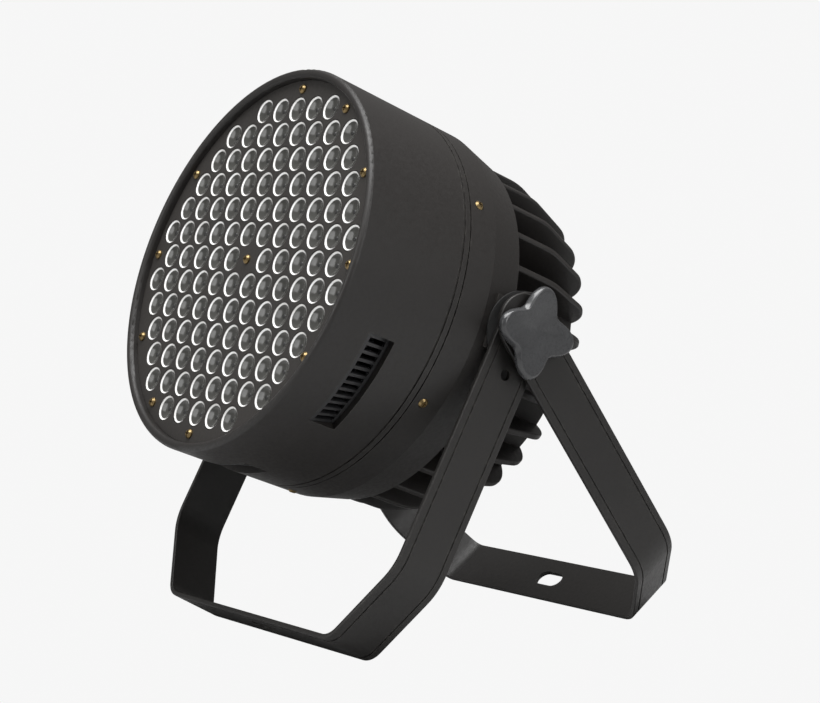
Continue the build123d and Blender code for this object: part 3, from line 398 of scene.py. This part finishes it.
def lens_insert(radius):
    """One insert on the origin, facing +Z: rimmed flange with its rim painted near white as a
    highlight, dark bowl, cone behind.
    """
    sizes = bpy.context.scene.par_can_lens
    deselect()
    bpy.ops.mesh.primitive_circle_add(vertices=sizes.segments, radius=radius,
                                      fill_type="NGON")
    piece = bpy.context.object
    lip_drop = 0.0003
    steps = ((sizes.crest_radius, sizes.rim_rise),
             (sizes.rim_inside, -lip_drop),
             (sizes.bowl_shoulder, -0.62 * sizes.bowl_depth),
             (sizes.bowl_floor, -0.95 * sizes.bowl_depth),
             (sizes.dot_radius, -sizes.bowl_depth),
             (0.6 * sizes.dot_radius, -0.72 * sizes.bowl_depth))
    bpy.ops.object.mode_set(mode="EDIT")
    bpy.ops.mesh.select_mode(type="FACE")
    at, height = radius, 0.0
    for next_radius, next_height in steps:
        bpy.ops.mesh.inset(thickness=(at - next_radius) * cos(pi / sizes.segments))
        bpy.ops.transform.translate(value=(0, 0, next_height - height))
        at, height = next_radius, next_height
    bpy.ops.object.mode_set(mode="OBJECT")
    mesh = piece.data
    for name in ("insert_rim_painted_highlight", "insert_bowl", "insert_dot"):
        mesh.materials.append(materials[name])
    # rim faces take the near-white painted highlight colour, then the bowl colour, then the dot
    # colour
    for face in mesh.polygons:
        away = hypot(face.center.x, face.center.y)
        face.material_index = 0 if away > sizes.rim_inside * 0.98 else \
            1 if away > 0.98 * sizes.dot_radius else 2
    bpy.ops.object.mode_set(mode="EDIT")
    select_points(lambda co: hypot(co.x, co.y) > radius * 0.99)
    for drop in (sizes.flange_edge, sizes.cone_depth - sizes.flange_edge):
        bpy.ops.mesh.extrude_region_move(TRANSFORM_OT_translate={"value": (0, 0, -drop)})
    squeeze = 0.9 * sizes.tip_radius / radius
    bpy.ops.transform.resize(value=(squeeze, squeeze, 1.0))
    bpy.ops.mesh.edge_face_add()
    bpy.ops.mesh.select_all(action="SELECT")
    bpy.ops.mesh.normals_make_consistent(inside=False)
    bpy.ops.object.mode_set(mode="OBJECT")
    bpy.ops.object.shade_smooth_by_angle(angle=radians(50))
    return piece


class ParCanAddLenses(bpy.types.Operator):
    """Model one lens insert and set a copy in every opening of the face plate"""
    bl_idname = "parcan.add_lenses"
    bl_label = "Lens inserts"

    def execute(self, context):
        places, radius = lens_places()
        if len(places) < 2:
            raise RuntimeError("the frame's lenses can't be told apart")
        pattern = lens_insert(radius)
        copies = [pattern]
        for _ in places[1:]:
            copy = pattern.copy()
            copy.data = pattern.data.copy()
            context.collection.objects.link(copy)
            copies.append(copy)
        rise = context.scene.par_can_lens.rim_rise
        for copy, (x, y, z) in zip(copies, places):
            copy.matrix_world = (Matrix.Translation(pivot) @ can_turn
                                 @ Matrix.Translation((x, y, z - rise)))
        deselect()
        for copy in copies:
            copy.select_set(True)
        context.view_layer.objects.active = pattern
        bpy.ops.object.join()
        pattern.name = "lens_inserts"
        finish_piece(pattern, pattern.matrix_world.copy(), "can")
        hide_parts("lenses")
        return {"FINISHED"}


# ---------------------------------------------------------------- star knobs
knob_sides = 32


def lobe_radius(angle, tip, waist):
    """Outline of a four-lobe knob: blunt tips, round hollows."""
    wave = (1 + cos(4 * angle)) / 2
    return waist + (tip - waist) * wave ** 0.85


def shape_ring(height, scale, tip, waist, rise):
    """Draw the ring of points at one height and size out into four lobes."""
    for index in range(knob_sides // 8 + 1):
        angle = 2 * pi * index / knob_sides
        radius = lobe_radius(angle, tip, waist)
        target = height + rise * cos(4 * angle)

        def on_ring(co):
            off = abs((atan2(co.y, co.x) + pi / 4) % (pi / 2) - pi / 4)
            return (abs(co.z - height) < 1e-6 and abs(hypot(co.x, co.y) - scale) < 2e-5
                    and abs(off - angle) < 0.01)
        select_points(on_ring)
        bpy.ops.transform.resize(value=(radius / scale, radius / scale, 1.0),
                                 center_override=(0, 0, 0))
        bpy.ops.transform.translate(value=(0, 0, target - height))


def star_knob(thickness, tip_radius):
    """One knob on the origin, base at Z = 0, first lobe along +X."""
    sizes = bpy.context.scene.par_can_knob
    deselect()
    start = 0.010
    dish = sizes.dish_depth
    bpy.ops.mesh.primitive_cylinder_add(vertices=knob_sides, radius=start, depth=thickness,
                                        location=(0, 0, thickness / 2))
    bpy.ops.object.transform_apply(location=True)
    piece = bpy.context.object
    bpy.ops.object.mode_set(mode="EDIT")
    bpy.ops.mesh.select_mode(type="FACE")
    select_faces(lambda centre, normal: normal.z > 0.9)
    side = sizes.edge_round
    bpy.ops.transform.translate(value=(0, 0, -side))
    # starting radius, height above the crown, and share of the reach once shaped
    face_rings = ((0.0095, 0.0, 1.0 - side / tip_radius),
                  (0.0085, -0.0003, 0.86),
                  (0.0065, -0.4 * dish, 0.62),
                  (0.0035, -0.8 * dish, 0.36),
                  (0.0015, -dish, 0.14))
    rings = [(0.0, start, 1.0), (thickness - side, start, 1.0)]
    at, level = start, thickness - side
    for radius, drop, share_out in face_rings:
        bpy.ops.mesh.inset(thickness=(at - radius) * cos(pi / knob_sides))
        target = thickness + drop
        bpy.ops.transform.translate(value=(0, 0, target - level))
        rings.append((target, radius, share_out))
        at, level = radius, target
    for number, (height, radius, share_out) in enumerate(rings):
        waist = sizes.foot_waist if number == 0 else sizes.face_waist + 0.0006
        blend = max(share_out, 0.3)
        inner_waist = waist * share_out if number < 2 else \
            (sizes.face_waist * blend + tip_radius * share_out * (1 - blend)) * share_out
        rise = 0.0 if number < 2 else sizes.lobe_crown * share_out * 0.5
        shape_ring(height, radius, tip_radius * share_out, inner_waist, rise)
    bpy.ops.object.mode_set(mode="OBJECT")
    rounding = piece.modifiers.new("rounding", "SUBSURF")
    rounding.levels = 2
    rounding.render_levels = 2
    bpy.ops.object.modifier_apply(modifier=rounding.name)
    low = min(point.co.z for point in piece.data.vertices)
    high = max(point.co.z for point in piece.data.vertices)
    reach = max(hypot(point.co.x, point.co.y) for point in piece.data.vertices)
    bpy.ops.object.mode_set(mode="EDIT")
    bpy.ops.mesh.select_all(action="SELECT")
    bpy.ops.transform.translate(value=(0, 0, -low))
    bpy.ops.transform.resize(value=(tip_radius / reach, tip_radius / reach,
                                    thickness / (high - low)), center_override=(0, 0, 0))
    bpy.ops.object.mode_set(mode="OBJECT")
    bpy.ops.object.shade_smooth()
    piece.data.materials.append(materials["knob_plastic"])
    return piece


class ParCanAddKnobs(bpy.types.Operator):
    """Model the dished four-lobe clamp knob and put one on each side"""
    bl_idname = "parcan.add_knobs"
    bl_label = "Star knobs"

    def execute(self, context):
        sizes = context.scene.par_can_knob
        for side, name in ((1, "knob_right"), (-1, "knob_left")):
            low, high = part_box(name)
            base = low[0] if side > 0 else high[0]
            thickness = high[0] - low[0]
            reach = max(abs((point.co - pivot).cross(across).length)
                        for point in frame["nodes"][name].data.vertices)
            knob = star_knob(thickness, reach)
            knob.name = name + "_star"
            forward = beam * cos(sizes.turn) + across.cross(beam) * sin(sizes.turn)
            outward = across * side
            turned = Matrix((forward, outward.cross(forward), outward)).transposed().to_4x4()
            place = Matrix.Translation(Vector((base, pivot.y, pivot.z))) @ turned
            finish_piece(knob, place, name)
            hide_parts(name)
        return {"FINISHED"}


# ---------------------------------------------------------------- finishes of the frame
class ParCanFinishFrame(bpy.types.Operator):
    """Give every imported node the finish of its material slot"""
    bl_idname = "parcan.finish_frame"
    bl_label = "Finishes"

    def execute(self, context):
        materials.update(make_materials())
        for row in frame["record"]["subparts"]:
            node = frame["nodes"][row["node"]]
            finish = materials[row["material_slot"]]
            node.data.materials.clear()
            node.data.materials.append(finish)
        return {"FINISHED"}


# ---------------------------------------------------------------- studio
def soft_box(name, place, aim, size, power):
    deselect()
    bpy.ops.object.light_add(type="AREA", location=place)
    light = bpy.context.object
    light.name = name
    light.data.shape = "RECTANGLE"
    light.data.size, light.data.size_y = size
    light.data.energy = power
    light.rotation_euler = (Vector(aim) - Vector(place)).to_track_quat("-Z", "Y").to_euler()


def seen_and_lit(tree, seen, lit, output):
    """Mix what the camera sees directly with what lights the object."""
    path = tree.nodes.new("ShaderNodeLightPath")
    mix = tree.nodes.new("ShaderNodeMixShader")
    tree.links.new(path.outputs["Is Camera Ray"], mix.inputs["Fac"])
    tree.links.new(lit.outputs[0], mix.inputs[1])
    tree.links.new(seen.outputs[0], mix.inputs[2])
    tree.links.new(mix.outputs[0], output.inputs["Surface"])


class ParCanSetStage(bpy.types.Operator):
    """Set the pale floor, the backdrop, the soft boxes and the camera"""
    bl_idname = "parcan.set_stage"
    bl_label = "Studio"

    def execute(self, context):
        sizes = context.scene.par_can_stage
        pale = (sizes.pale, sizes.pale, sizes.pale, 1.0)

        world = bpy.data.worlds.new("studio")
        context.scene.world = world
        world.use_nodes = True
        tree = world.node_tree
        lit = tree.nodes["Background"]
        lit.inputs["Color"].default_value = (1.0, 0.985, 0.965, 1.0)
        lit.inputs["Strength"].default_value = sizes.ambient
        seen = tree.nodes.new("ShaderNodeBackground")
        seen.inputs["Color"].default_value = pale
        seen_and_lit(tree, seen, lit, tree.nodes["World Output"])

        deselect()
        bpy.ops.mesh.primitive_plane_add(size=24.0)
        floor = context.object
        floor.name = "floor"
        paint = bpy.data.materials.new("floor_paint")
        paint.use_nodes = True
        tree = paint.node_tree
        shader = tree.nodes["Principled BSDF"]
        shader.inputs["Base Color"].default_value = (0.5, 0.5, 0.5, 1.0)
        shader.inputs["Roughness"].default_value = 0.9
        glow = tree.nodes.new("ShaderNodeEmission")
        glow.inputs["Color"].default_value = pale
        seen_and_lit(tree, glow, shader, tree.nodes["Material Output"])
        floor.data.materials.append(paint)

        middle = (0.0, 0.0, 0.17)
        for name, place, size, power in (
                ("overhead_box", (0.25, -0.2, 1.7), (1.5, 1.2), sizes.key_power),
                ("side_box", (1.9, 0.3, 0.9), (0.9, 1.2), sizes.fill_power),
                ("front_box", (-0.5, -1.9, 0.9), (1.2, 1.2), sizes.front_power)):
            soft_box(name, place, middle, size, power)

        camera = bpy.data.objects.new("camera", bpy.data.cameras.new("camera"))
        context.collection.objects.link(camera)
        camera.data.lens = sizes.lens_mm
        camera.data.sensor_width = 36.0
        stand = Vector((1.004765, pivot.y - 0.721979, 0.248437))
        heading, pitch, roll = radians(53.9721), radians(-3.6251), radians(-0.6036)
        camera.matrix_world = (Matrix.Translation(stand) @ Matrix.Rotation(heading, 4, "Z")
                               @ Matrix.Rotation(pi / 2 + pitch, 4, "X")
                               @ Matrix.Rotation(roll, 4, "Z"))
        context.scene.camera = camera
        context.scene.view_settings.view_transform = "Standard"
        return {"FINISHED"}


# ---------------------------------------------------------------- panel and registration
operators = (ParCanFinishFrame, ParCanAddLenses, ParCanAddKnobs, ParCanSetStage)
groups = {"par_can_lens": ParCanLensSizes, "par_can_knob": ParCanKnobSizes,
          "par_can_colours": ParCanColours, "par_can_stage": ParCanStageSizes}


class ParCanPanel(bpy.types.Panel):
    """Builds the light piece by piece"""
    bl_idname = "VIEW3D_PT_par_can"
    bl_label = "Par can light"
    bl_space_type = "VIEW_3D"
    bl_region_type = "UI"
    bl_category = "Par can"

    def draw(self, context):
        for kind in operators:
            self.layout.operator(kind.bl_idname)
        for name, group in groups.items():
            box = self.layout.box()
            for prop in group.__annotations__:
                box.prop(getattr(context.scene, name), prop)


def register():
    for name, group in groups.items():
        bpy.utils.register_class(group)
        setattr(bpy.types.Scene, name, bpy.props.PointerProperty(type=group))
    for kind in operators + (ParCanPanel,):
        bpy.utils.register_class(kind)


def unregister():
    for kind in reversed(operators + (ParCanPanel,)):
        bpy.utils.unregister_class(kind)
    for name, group in groups.items():
        delattr(bpy.types.Scene, name)
        bpy.utils.unregister_class(group)


def main():
    register()
    bpy.ops.parcan.finish_frame()
    bpy.ops.parcan.add_lenses()
    bpy.ops.parcan.add_knobs()
    bpy.ops.parcan.set_stage()


if __name__ == "__main__":
    main()
